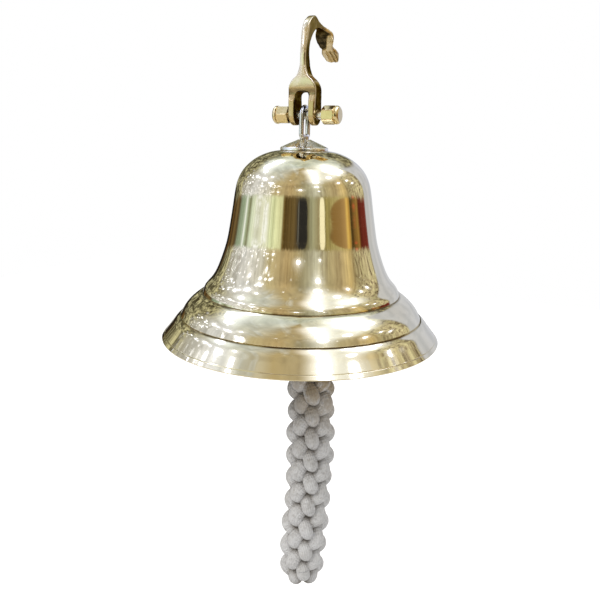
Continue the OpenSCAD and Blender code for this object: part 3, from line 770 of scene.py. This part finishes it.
def nut_part(sign, turn):
    """One domed nut on the stud: hexagon with broken corners, a groove and a round cap."""
    around = 144
    angles = np.linspace(0, 2 * math.pi, around, endpoint=False)
    hexagon = NUT_FLATS / 2 / np.cos((angles + turn) % math.radians(60) - math.radians(30))
    hexagon = (hexagon ** -40 + (NUT_CORNER - 0.1) ** -40.0) ** (-1 / 40)
    hex_end = 8.2
    rings = [(0.0, STUD_HOLE_R, False), (0.0, NUT_CORNER - 1.1, True), (0.0, NUT_CORNER - 0.6, True)]
    rings += [(x, NUT_CORNER - 0.6 + x, True) for x in (0.15, 0.3, 0.45, 0.6, 0.8, 1.2)]
    rings += [(x, NUT_CORNER + 1, True) for x in (2.0, 4.1, 6.2, 7.0)]
    rings += [(hex_end - x, NUT_CORNER - 0.6 + x, True) for x in (0.8, 0.6, 0.45, 0.3, 0.15, 0.0)]
    groove, dome, full, curve = 5.25, 6.11, 11.8, 2.4
    rings += [(hex_end, groove + 0.1, False), (8.25, groove, False), (8.55, groove, False),
              (8.65, groove + 0.1, False), (8.95, dome - 0.1, False), (9.05, dome, False)]
    rings += [(full - curve + curve * math.sin(a), dome - curve + curve * math.cos(a), False)
              for a in np.radians(np.linspace(6, 90, 12))]
    rings += [(full, 2.4, False), (full + 0.02, 1.2, False), (full + 0.03, 0.3, False)]
    verts = []
    for x, r, flat in rings:
        reach = np.minimum(hexagon, r) if flat else np.full(around, r)
        verts.append(np.stack([np.full(around, sign * (NUT_X + x) + STUD_SHIFT), reach * np.sin(angles),
                               STUD_Z + reach * np.cos(angles)], 1))
    faces = grid_faces(len(rings), around)
    faces.append(tuple((len(rings) - 1) * around + k for k in range(around)))
    return np.vstack(verts), faces


def add_nuts():
    parts = [nut_part(1, 0), nut_part(-1, math.radians(30))]
    obj = make_object("domed_nuts", *join(parts), "hanger", [brass_nut], sharp=28)
    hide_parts("cap_nuts")


VOXEL_MM = 0.36
HOOK_FRONT_Y = -6.3
RIB_PITCH = 3.1
# Square to the leaf's face
LEAF_OUT = np.array([0.0, 0.526, 0.85])


def rise(value, low, high):
    """0 below low, 1 above high, and a smooth step between."""
    t = np.clip((value - low) / (high - low), 0, 1)
    return t * t * (3 - 2 * t)


def round_front(points, normals):
    """The front, rolled away towards the fork's slot and towards both edges of the shank."""
    x, z = points[:, 0], points[:, 2]
    front = rise(-normals[:, 1], -0.1, 0.5) * (points[:, 1] < 6)
    roll = 1.7 * np.clip((179.5 - z) / 9.5, 0, 1) ** 2 * rise(z, 164, 169)
    crown = 0.55 * np.clip(np.abs(x) / 3.4, 0, 1.2) ** 2 * rise(z, 180, 186)
    return points + np.outer(front * (roll + crown), (0, 1, 0))


def shape_leaf(points, normals):
    """Cup the leaf, with ribs along the underside of its end."""
    x, y = points[:, 0], points[:, 1]
    cup = 0.9 * (0.45 - np.clip(x / 6, -1.2, 1.2) ** 2)
    ribs = 0.42 * np.cos(2 * math.pi * x / RIB_PITCH) * rise(y, 36, 38.5) * (1 - rise(y, 46.5, 48.5))
    under = rise(-(normals @ LEAF_OUT), 0.2, 0.7)
    return points + np.outer(rise(y, 30, 35) * cup + under * ribs, LEAF_OUT)


def hook_painted_shade(points, normals):
    """Painted shade and dark reflection: the sides, the front low down, the brow over the fork's slot, the
    back, the slot and its roof, the hollow of the arch and under the leaf.
    """
    x, y, z = points.T
    side = rise(np.abs(normals[:, 0]), 0.78, 0.97) * (0.97 - 0.38 * rise(z, 194, 206))
    # Painted highlight: the sides stay light just behind the rounded front edge
    worn_and_lit_edge = y - HOOK_FRONT_Y - 0.24 * np.clip(z - SEAT[2], 0, 20)
    side = side * (0.2 + 0.8 * rise(worn_and_lit_edge, 0.9, 2.9))
    face = rise(np.abs(normals[:, 1]), 0.2, 0.7)
    front = face * (0.06 + 0.26 * rise(178 - z, 0, 8)) * (1 - rise(z, 178, 186))
    brow = face * 0.6 * rise(z, 166, 169.5) * (1 - rise(z, 171.5, 175))
    back = rise(normals[:, 1], 0.3, 0.8) * (0.16 + 0.2 * rise(np.abs(x), 3, 8)) * (1 - rise(z, 186, 200))
    slot = rise(-normals[:, 0] * np.sign(x), 0.35, 0.75) * (np.abs(x) < 9) * (z < 172)
    roof = rise(-normals[:, 2], 0.35, 0.7) * (np.abs(x) < 6.5) * (z > 158) * (z < 176)
    out = np.stack([y - SEAT[1], z - SEAT[2]], 1)
    reach = np.linalg.norm(out, axis=1)
    inward = -(normals[:, 1] * out[:, 0] + normals[:, 2] * out[:, 1]) / np.maximum(reach, 1)
    hollow = rise(inward, 0.35, 0.7) * (reach < 18.5) * rise(z, 184, 199)
    under = rise(-(normals @ LEAF_OUT), 0.1, 0.5) * rise(y, 24, 28)
    leaf = rise(under, 0.5, 1) * (1 - rise(x + (y - 30) * 0.55, 1.0, 2.6)) * (1 - rise(y, 33, 36.5))
    # Painted shade between the ribs under the leaf
    ribs = under * rise(y, 34.5, 37) * rise(x, -2.4, -0.8)
    ribs = ribs * (0.36 - 0.24 * np.cos(2 * math.pi * x / RIB_PITCH))
    hollow = hollow * (1 - rise(y, 26, 29)) + leaf + ribs
    side = side * (1 - rise(y, 23, 28))
    return np.clip(np.max([side, front, brow, back, slot, roof, hollow], axis=0), 0, 1)


def add_hook():
    """The CAD hook's form in a new mesh, with the rounded edges and uneven faces of a polished casting."""
    mesh = nodes["hanger_hook"].data.copy()
    obj = bpy.data.objects.new("cast_hook", mesh)
    scene.collection.objects.link(obj)
    remesh = obj.modifiers.new("remesh", "REMESH")
    remesh.mode = "VOXEL"
    remesh.voxel_size = VOXEL_MM / 1000
    smooth = obj.modifiers.new("smooth", "SMOOTH")
    smooth.factor = 0.5
    smooth.iterations = 14
    graph = bpy.context.evaluated_depsgraph_get()
    shaped = bpy.data.meshes.new_from_object(obj.evaluated_get(graph))
    obj.modifiers.clear()
    obj.data = shaped
    shaped.name = "cast_hook"
    count = len(shaped.vertices)
    points, normals = np.empty(count * 3, np.float32), np.empty(count * 3, np.float32)
    shaped.vertices.foreach_get("co", points)
    shaped.vertices.foreach_get("normal", normals)
    points, normals = own(points.reshape(-1, 3)), normals.reshape(-1, 3)
    # Painted shade and highlight, kept as a point attribute for the hook's material
    painted_shade = shaped.attributes.new("painted_shade", "FLOAT", "POINT")
    painted_shade.data.foreach_set("value", hook_painted_shade(points, normals).astype(np.float32))
    points = shape_leaf(round_front(points, normals), normals)
    shaped.vertices.foreach_set("co", row(points).astype(np.float32).ravel())
    shaped.update()
    shaped.materials.clear()
    shaped.materials.append(brass_hook)
    shaped.shade_smooth()
    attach(obj, "hanger")
    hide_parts("hanger_hook")


add_bell()
add_cap()
add_eye()
add_nuts()
add_hook()

for name, material in {
    "fork_stud": steel, "inner_washer": steel_dull, "spring_washer": steel_dull, "crown_nut": steel_dull,
    "clapper_eye": steel_dull, "link_bow": steel_dull, "link_pin": steel_dull, "clapper_rod": steel_dull,
    "ball_lock_nut": steel_dull, "clapper_ball": brass_ball, "tail_eye": steel_dull,
}.items():
    mesh = nodes[name].data
    mesh.materials.clear()
    mesh.materials.append(material)
    mesh.shade_smooth()
    mesh.set_sharp_from_angle(angle=math.radians(30))


# Room: white behind the object, and for gloss the bright hall that a polished bell mirrors

# What stands round the bell, as (bearing, red, green, blue): degrees from the camera towards image right,
# and the colour, in percent as displayed, that the bell's brass shows of it
WALLS = [
    (-180, 30, 29, 26), (-168, 13, 12, 10), (-152, 17, 14, 9), (-146, 42, 31, 15), (-140, 24, 18, 10),
    (-132, 47, 38, 22), (-124, 34, 27, 16), (-117, 55, 60, 48), (-107, 62, 67, 55), (-103, 95, 96, 90),
    (-99, 68, 72, 58), (-94, 48, 48, 34), (-89, 82, 85, 72), (-76, 88, 88, 78), (-56, 90, 90, 76),
    (-50, 86, 88, 68), (-34, 89, 88, 66), (-30.5, 44, 34, 15), (-28, 34, 26, 12), (-13, 42, 34, 19),
    (-10, 33, 27, 17), (9, 47, 44, 31), (14, 66, 65, 50), (25, 58, 53, 37), (38, 62, 56, 32),
    (60, 74, 68, 44), (79, 74, 63, 33), (82, 24, 17, 8), (97, 62, 47, 22), (101, 36, 14, 9),
    (119, 48, 20, 15), (123, 76, 75, 72)]
SCREEN = [
    (38, 42, 33, 18), (50, 54, 41, 21), (62, 58, 45, 25), (71, 67, 53, 31), (75, 88, 72, 36),
    (79, 68, 50, 22)]
CEILING_LOW = [
    (-180, 26, 26, 18), (-150, 34, 32, 22), (-130, 48, 45, 32), (-118, 70, 68, 60), (-90, 82, 81, 77),
    (-62, 80, 78, 70), (-50, 74, 68, 50), (-22, 72, 62, 42), (-8, 66, 59, 41), (6, 66, 63, 49),
    (22, 80, 78, 66), (40, 70, 64, 46), (58, 70, 62, 44), (74, 80, 70, 46), (86, 72, 65, 47),
    (112, 74, 67, 51), (124, 50, 44, 30), (180, 26, 26, 18)]
CEILING_HIGH = [
    (-180, 80, 80, 68), (-140, 80, 82, 73), (-100, 82, 83, 76), (-60, 80, 78, 68), (-30, 69, 61, 42),
    (0, 71, 64, 47), (30, 86, 84, 73), (70, 88, 86, 75), (110, 90, 89, 78), (140, 84, 85, 76),
    (180, 80, 80, 68)]

# Hall lamps, by bearing, height in degrees, and how wide they are on a ceiling one unit up
LAMPS = [
    (-5, 24, 0.13), (-62, 31, 0.09), (-82, 36, 0.14), (-103, 33, 0.10), (-104, 47, 0.11), (-77, 21.5, 0.10),
    (-60, 26, 0.07), (-71, 45, 0.05), (-124, 50, 0.15), (-140, 57, 0.13), (70, 34, 0.08), (92, 33, 0.07),
    (109, 50, 0.12), (100, 25, 0.10), (-43, 18, 0.09), (84, 57, 0.07), (24, 31, 0.11), (25, 43, 0.13),
    (28, 55, 0.10), (34, 70, 0.09), (27, 22, 0.07), (110, 62, 0.12), (88, 66, 0.10), (60, 50, 0.10)]
# Strips of light on the same ceiling: two ends as (ahead, aside), and the half width
STRIPS = [((0.90, 0.42), (0.20, 0.14), 0.05), ((-0.20, 0.42), (-0.02, 0.86), 0.07)]
# Height of the middle of the figure, post and screen on the walls, and from there to their rounded tops
FIGURE_MIDDLE = 0.31
FIGURE_HALF = 0.10


def linear_ramp(n, turn, stops):
    return n.ramp(turn, [((stop[0] + 180) / 360, linear([c / 100 for c in stop[1:]])) for stop in stops])


def on_ceiling(az, el):
    """Where a direction, in degrees, meets the ceiling one unit up."""
    reach = 1 / math.tan(math.radians(el))
    return (reach * math.cos(math.radians(az)), reach * math.sin(math.radians(az)), 0.0)


def strip_light(n, plane, start, end, half):
    """1 on a straight strip of the ceiling, and a wider glow round it."""
    start, end = Vector((*start, 0)), Vector((*end, 0))
    along = (end - start).normalized()
    across = Vector((-along.y, along.x, 0))
    off = n.abs(n.minus(n.vector("DOT_PRODUCT", plane, tuple(across)), across.dot(start)))
    middle = along.dot((start + end) / 2)
    place = n.minus(n.vector("DOT_PRODUCT", plane, tuple(along)), middle)
    length = (end - start).length / 2
    inside = n.span(n.abs(place), length, length + half * 3, 1.0, 0.0)
    return (n.times(n.span(off, half * 0.7, half * 1.5, 1.0, 0.0), inside),
            n.times(n.span(off, half, half * 5, 1.0, 0.0), inside))


def oval(n, height, fullness):
    """Half the breadth, 0 to 1, that a figure rounded over its top has at a height."""
    off = n.math("DIVIDE", n.minus(height, FIGURE_MIDDLE), FIGURE_HALF)
    return n.math("POWER", n.math("MAXIMUM", n.minus(1.0, off), 0.0), fullness)


def build_walls(n, az, turn, height):
    walls = linear_ramp(n, turn, WALLS)
    # Uprights and edges of the hall's furniture
    upright = n.joined(n.times(az, 0.5), n.times(height, 5.0), 0.0)
    fine = n.noise(upright, 1.0, 3.0, 0.65, 0.4)
    walls = n.mix(1.0, walls, n.ramp(fine, [(0.32, (0.66, 0.64, 0.58)), (0.5, (0.95, 0.95, 0.93)),
                                            (0.68, (1.22, 1.22, 1.2))]), "MULTIPLY")
    torn = n.joined(n.times(az, 0.16), n.times(height, 26.0), 2.0)
    torn = n.times(n.span(n.noise(torn, 1.0, 4.0, 0.7, 0.8), 0.5, 0.56),
                   n.times(n.span(az, -86.0, -78.0), n.span(az, -60.0, -54.0, 1.0, 0.0)))
    walls = n.mix(torn, walls, linear((1.0, 1.0, 0.95)))
    # A dark figure with rounded ends, a bright post, and a round brown screen
    figure = n.minus(n.times(oval(n, height, 0.36), 9.6), n.abs(n.math("ADD", az, 0.5)))
    walls = n.mix(n.span(figure, 0.0, 1.5), walls, linear((0.17, 0.16, 0.14)))
    edge_light = n.times(near(n, az, -6.5, 1.3), n.span(figure, 0.5, 2.0))
    walls = n.mix(n.times(edge_light, 0.6), walls, linear((0.55, 0.53, 0.46)))
    post = n.minus(n.times(oval(n, height, 0.22), 5.2), n.abs(n.minus(az, 31.0)))
    walls = n.mix(n.span(post, 0.0, 1.6), walls, linear((0.99, 0.94, 0.74)))
    screen = n.minus(n.math("ADD", az, n.times(oval(n, height, 0.5), 41.0)), 79.5)
    screen = n.times(n.span(screen, 0.0, 3.0), n.span(az, 79.0, 81.0, 1.0, 0.0))
    walls = n.mix(screen, walls, linear_ramp(n, turn, SCREEN))
    signs = near(n, az, 90.0, 5.0)
    signs = n.times(signs, n.math("MAXIMUM", near(n, height, 0.35, 0.012), n.span(height, 0.395, 0.41)))
    return n.mix(n.times(signs, 0.85), walls, linear((0.88, 0.36, 0.22)))


def build_ceiling(n, az, el, turn, way, flat):
    ceiling = n.mix(n.span(el, 34.0, 54.0), linear_ramp(n, turn, CEILING_LOW),
                    linear_ramp(n, turn, CEILING_HIGH))
    # Foliage and stands at both sides
    broken = n.noise(way, 13.0, 5.0, 0.66, 1.6)
    side = n.math("MAXIMUM", n.span(az, -128.0, -114.0, 1.0, 0.0), n.span(az, 74.0, 90.0))
    side = n.times(side, n.span(el, 62.0, 34.0, 0.3, 1.0))
    ceiling = n.mix(n.times(n.times(n.span(broken, 0.48, 0.60), side), 0.8),
                    ceiling, linear((0.86, 0.82, 0.60)))
    ceiling = n.mix(n.times(n.times(n.span(broken, 0.50, 0.36), side), 0.85),
                    ceiling, linear((0.22, 0.17, 0.07)))
    # Uprights in the lower part
    upright = n.joined(n.times(az, 0.28), n.times(el, 0.03), 7.0)
    stripes = n.ramp(n.noise(upright, 1.0, 3.0, 0.6), [(0.3, (0.74, 0.71, 0.66)), (0.5, (1, 1, 1)),
                                                       (0.7, (1.25, 1.25, 1.25))])
    ceiling = n.mix(n.span(el, 44.0, 30.0), ceiling, n.mix(1.0, ceiling, stripes, "MULTIPLY"))
    # Curved pale streaks across the upper part
    arcs = n.noise(n.scaled(flat, (0.8, 3.2, 1.0)), 1.6, 3.0, 0.6, 1.2)
    arcs = n.times(n.span(arcs, 0.52, 0.66), n.span(el, 36.0, 50.0))
    ceiling = n.mix(n.times(arcs, 0.32), ceiling, linear((0.96, 0.98, 0.94)))
    tones = n.noise(way, 5.0, 3.0, 0.6, 0.6)
    tones = n.ramp(tones, [(0.3, (0.74, 0.74, 0.74)), (0.7, (1.16, 1.16, 1.16))])
    return n.mix(1.0, ceiling, tones, "MULTIPLY")


def build_lights(n, az, el, flat):
    lights = 0.0
    for lamp_az, lamp_el, size in LAMPS:
        away = n.vector("DISTANCE", flat, on_ceiling(lamp_az, lamp_el))
        lights = n.math("MULTIPLY_ADD", n.span(away, size * 0.6, size * 1.15, 1.0, 0.0), 3.2, lights)
        lights = n.math("MULTIPLY_ADD", n.span(away, size * 0.8, size * 3.6, 1.0, 0.0), 0.26, lights)
    for start, end, half in STRIPS:
        core, glow = strip_light(n, flat, start, end, half)
        lights = n.math("MULTIPLY_ADD", core, 0.8, lights)
        lights = n.math("MULTIPLY_ADD", glow, 0.32, lights)
    cells = n.add("ShaderNodeTexVoronoi", {"feature": "F1"}, Vector=flat, Scale=3.6, Randomness=0.8)
    dots = n.span(cells.outputs["Distance"], 0.20, 0.32, 1.0, 0.0)
    crowd = n.times(n.span(az, -132.0, -122.0), n.span(az, -48.0, -36.0, 1.0, 0.0))
    crowd = n.times(crowd, n.span(el, 39.0, 31.0))
    lights = n.math("MULTIPLY_ADD", n.times(dots, crowd), 1.8, lights)
    small = n.add("ShaderNodeTexVoronoi", {"feature": "F1"}, Vector=flat, Scale=5.0, Randomness=0.9)
    sparks = n.span(small.outputs["Distance"], 0.08, 0.16, 1.0, 0.0)
    lot = n.add("ShaderNodeSeparateColor", Color=small.outputs["Color"]).outputs[1]
    chosen = n.math("GREATER_THAN", lot, 0.87)
    return n.math("MULTIPLY_ADD", n.times(sparks, chosen), 1.2, lights)


def as_mirrored(n, way, colour):
    """The light that shows the colour in the bell's brass, with the paler reflection of a slanting view."""
    view = Vector(TOWARDS_CAM * math.cos(CAM_PITCH) + UP * math.sin(CAM_PITCH))
    slant = n.math("SQRT", n.math("MULTIPLY_ADD", n.vector("DOT_PRODUCT", way, tuple(view)), 0.5, 0.5))
    pale = n.math("POWER", n.minus(1.0, slant), 5.0)
    tint = n.mix(pale, BELL_BRASS, (1.0, 1.0, 1.0))
    return n.vector("DIVIDE", colour, tint)


def build_world():
    world = bpy.data.worlds.new("room")
    scene.world = world
    world.use_nodes = True
    n = Nodes(world.node_tree)
    way = n.add("ShaderNodeTexCoord").outputs["Generated"]
    ahead = n.vector("DOT_PRODUCT", way, tuple(TOWARDS_CAM))
    aside = n.vector("DOT_PRODUCT", way, tuple(IMAGE_RIGHT))
    up = n.split(way)[2]
    el = n.times(n.math("ARCSINE", up), 180 / math.pi)
    az = n.times(n.math("ARCTAN2", aside, ahead), 180 / math.pi)
    turn = n.math("MULTIPLY_ADD", az, 1 / 360, 0.5)
    # Height on the walls: the same all along one level of the bell's waist, as it mirrors them
    breadth = n.math("MAXIMUM", n.math("COSINE", n.times(az, math.pi / 360)), 0.3)
    height = n.math("DIVIDE", n.math("ADD", up, 0.14), breadth)
    over = n.math("DIVIDE", 1.0, n.math("MAXIMUM", up, 0.05))
    flat = n.joined(n.times(ahead, over), n.times(aside, over), 0.0)
    walls = build_walls(n, az, turn, height)
    ceiling = build_ceiling(n, az, el, turn, way, flat)
    lights = build_lights(n, az, el, flat)
    ceiling = n.mix(1.0, ceiling, n.joined(lights, lights, lights), "ADD")
    ragged = n.math("MULTIPLY_ADD", n.noise(n.scaled(way, (1.0, 1.0, 0.2)), 22.0, 3.0, 0.6), 0.10, -0.05)
    room = n.mix(n.span(n.math("ADD", height, ragged), 0.385, 0.45), walls, ceiling)
    # A pale wall close by on the right, lower further back
    wall_top = n.span(az, 122.0, 168.0, 52.0, 12.0, smooth=False)
    pale = n.span(az, 120.0, 124.0)
    pale = n.times(pale, n.span(n.minus(el, wall_top), -3.0, 3.0, 1.0, 0.0))
    plaster = n.mix(n.span(n.noise(way, 3.0, 3.0, 0.6), 0.35, 0.65), linear((0.79, 0.78, 0.75)),
                    linear((0.72, 0.715, 0.69)))
    room = n.mix(pale, room, plaster)
    room = n.mix(n.span(el, -34.0, -20.0, 1.0, 0.0), room, linear((0.56, 0.48, 0.34)))
    room = as_mirrored(n, way, room)
    path = n.add("ShaderNodeLightPath")
    white = n.add("ShaderNodeBackground", Color=(1, 1, 1, 1), Strength=1.0)
    mirrored = n.add("ShaderNodeBackground", Color=room, Strength=1.0)
    soft = n.add("ShaderNodeBackground", Color=(1.0, 0.99, 0.97, 1), Strength=0.45)
    gloss = mix_shaders(n, path.outputs["Is Glossy Ray"], soft, mirrored)
    shown = n.math("MAXIMUM", path.outputs["Is Camera Ray"], path.outputs["Is Transmission Ray"])
    final = mix_shaders(n, shown, gloss, white)
    out = n.add("ShaderNodeOutputWorld")
    n.put(out, 0, final.outputs[0])


build_world()


LAMP_AIM = Vector((0, 0, -0.2))


def add_lamp(name, place, size, power, colour):
    """A soft round lamp that mirrors don't show."""
    data = bpy.data.lights.new(name, "AREA")
    data.shape = "DISK"
    data.size = size
    data.energy = power
    data.color = colour
    lamp = bpy.data.objects.new(name, data)
    scene.collection.objects.link(lamp)
    lamp.location = place
    lamp.rotation_mode = "QUATERNION"
    lamp.rotation_quaternion = (LAMP_AIM - Vector(place)).to_track_quat("-Z", "Y")
    lamp.visible_glossy = False


add_lamp("key", (-0.55, -0.95, 0.75), 0.7, 11.0, (1.0, 0.98, 0.95))
add_lamp("fill", (0.9, -0.7, 0.1), 0.8, 3.0, (0.97, 0.98, 1.0))
add_lamp("back", (0.25, 1.1, 0.6), 0.8, 5.0, (1.0, 0.99, 0.97))


FLOOR_Z = -0.52
FLOOR_HALF = 1.6
FLOOR_GLOW = 0.56


def add_floor():
    """Pale floor below the rope, white to the camera and still shaded under the bell."""
    material, n = new_material("floor_pale")
    path = n.add("ShaderNodeLightPath")
    place = n.add("ShaderNodeTexCoord").outputs["Object"]
    tone = n.span(n.noise(place, 60.0, 2.0), 0.3, 0.7)
    colour = n.mix(tone, (0.86, 0.86, 0.86), (0.84, 0.84, 0.845))
    diffuse = n.add("ShaderNodeBsdfDiffuse", Color=colour, Roughness=0.5)
    glow = n.add("ShaderNodeEmission", Color=(1, 1, 1, 1), Strength=FLOOR_GLOW)
    both = n.add("ShaderNodeAddShader")
    n.put(both, 0, diffuse.outputs[0])
    n.put(both, 1, glow.outputs[0])
    finish_material(n, mix_shaders(n, path.outputs["Is Camera Ray"], diffuse, both))
    bm = bmesh.new()
    bmesh.ops.create_grid(bm, x_segments=8, y_segments=8, size=FLOOR_HALF)
    mesh = bpy.data.meshes.new("floor")
    bm.to_mesh(mesh)
    bm.free()
    mesh.materials.append(material)
    floor = bpy.data.objects.new("floor", mesh)
    scene.collection.objects.link(floor)
    floor.location = (0, 0, FLOOR_Z)


add_floor()
scene.view_settings.view_transform = "Standard"

bpy.context.view_layer.update()
